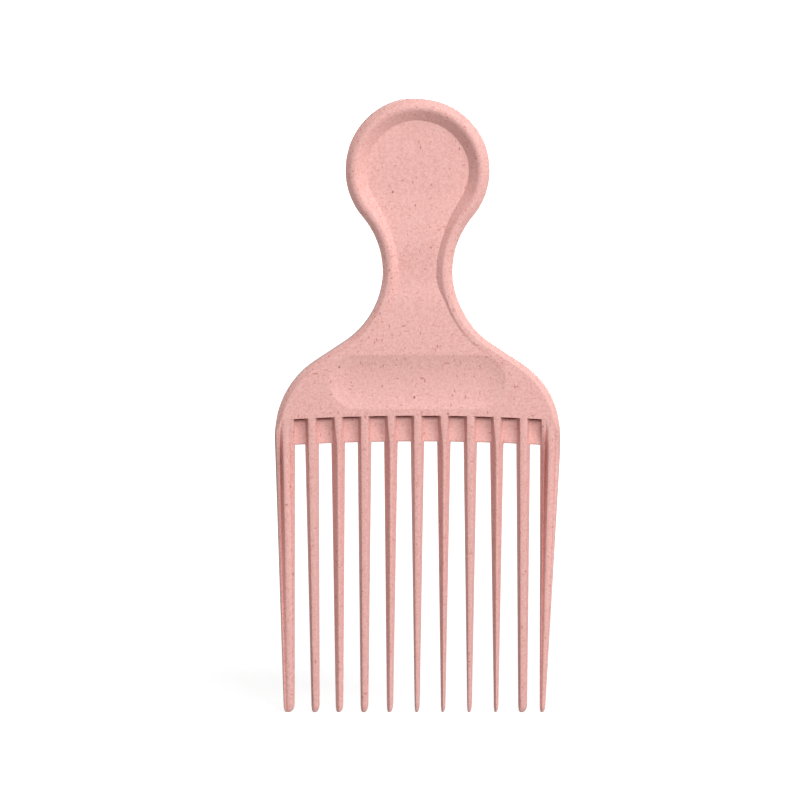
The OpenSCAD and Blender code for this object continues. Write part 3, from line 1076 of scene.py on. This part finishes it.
class PICK_OT_studio(bpy.types.Operator):
    """Set up the white floor, the soft lamps and the camera"""

    bl_idname = "pick.studio"
    bl_label = "Studio"

    def execute(self, context):
        scene = context.scene
        studio = scene.pick_studio
        floor_mesh = bpy.data.meshes.new("studio_floor")
        floor_mesh.from_pydata(
            [(x * FLOOR_HALF, y * FLOOR_HALF, 0) for x, y in ((-1, -1), (1, -1), (1, 1), (-1, 1))],
            [], [(0, 1, 2, 3)])
        floor = bpy.data.objects.new("studio_floor", floor_mesh)
        floor.data.materials.append(floor_material(context))
        scene.collection.objects.link(floor)

        world = bpy.data.worlds.new("studio_light")
        scene.world = world
        world.use_nodes = True
        tree = world.node_tree
        background = tree.nodes["Background"]
        background.inputs["Color"].default_value = (1, 1, 1, 1)
        tree.links.new(
            spread_node(tree, seen_mask(tree), 0.0, 1.0, studio.ambient, 1.0, smooth=False),
            background.inputs["Strength"])

        for name, values in LAMPS.items():
            add_lamp(scene, f"{name}_lamp", getattr(studio, f"{name}_power"), *values)

        camera = bpy.data.cameras.new("studio_camera")
        camera.lens = studio.lens
        camera.sensor_width = 36
        camera.clip_start = 0.01
        eye = bpy.data.objects.new("studio_camera", camera)
        scene.collection.objects.link(eye)
        aim = Vector(studio.aim)
        eye.location = aim + studio.distance * Vector(
            (0, -math.cos(studio.rise), math.sin(studio.rise)))
        look_at(eye, aim)
        scene.camera = eye
        scene.view_settings.view_transform = "Standard"
        return {"FINISHED"}


def look_at(obj, target):
    obj.rotation_euler = (target - obj.location).to_track_quat("-Z", "Y").to_euler()


def add_lamp(scene, name, power, size, turn, rise, distance):
    """A square lamp turned round from the front, towards the right, and raised, in degrees."""
    lamp = bpy.data.lights.new(name, "AREA")
    lamp.energy = power
    lamp.size = size
    obj = bpy.data.objects.new(name, lamp)
    obj.visible_camera = False
    scene.collection.objects.link(obj)
    turn, rise = math.radians(turn), math.radians(rise)
    middle = Vector((0, 0, LIT_HEIGHT))
    obj.location = middle + distance * Vector(
        (math.sin(turn) * math.cos(rise), -math.cos(turn) * math.cos(rise), math.sin(rise)))
    look_at(obj, middle)


class PICK_PT_panel(bpy.types.Panel):
    """Lists the pieces of the pick, the studio and their settings"""

    bl_idname = "PICK_PT_panel"
    bl_label = "Hair Pick"
    bl_space_type = "VIEW_3D"
    bl_region_type = "UI"
    bl_category = "Hair Pick"

    def draw(self, context):
        layout = self.layout
        for operator in OPERATORS:
            layout.operator(operator.bl_idname, text=operator.bl_label)
        for label, kind in SETTINGS.items():
            box = layout.box()
            box.label(text=label.capitalize())
            for name in kind.__annotations__:
                box.prop(getattr(context.scene, f"pick_{label}"), name)


SETTINGS = {"sizes": PickSizes, "finish": PickFinish, "studio": StudioSettings}
OPERATORS = (
    PICK_OT_rim, PICK_OT_grip_floor, PICK_OT_shoulder, PICK_OT_root_bar, PICK_OT_teeth,
    PICK_OT_studio)
CLASSES = (*SETTINGS.values(), *OPERATORS, PICK_PT_panel)


def register():
    for cls in CLASSES:
        bpy.utils.register_class(cls)
    for label, kind in SETTINGS.items():
        setattr(bpy.types.Scene, f"pick_{label}", PointerProperty(type=kind))


def unregister():
    for label in SETTINGS:
        delattr(bpy.types.Scene, f"pick_{label}")
    for cls in reversed(CLASSES):
        bpy.utils.unregister_class(cls)


def main():
    register()
    bpy.ops.pick.rim()
    bpy.ops.pick.grip_floor()
    bpy.ops.pick.shoulder()
    bpy.ops.pick.root_bar()
    bpy.ops.pick.teeth()
    bpy.ops.pick.studio()


if __name__ == "__main__":
    main()
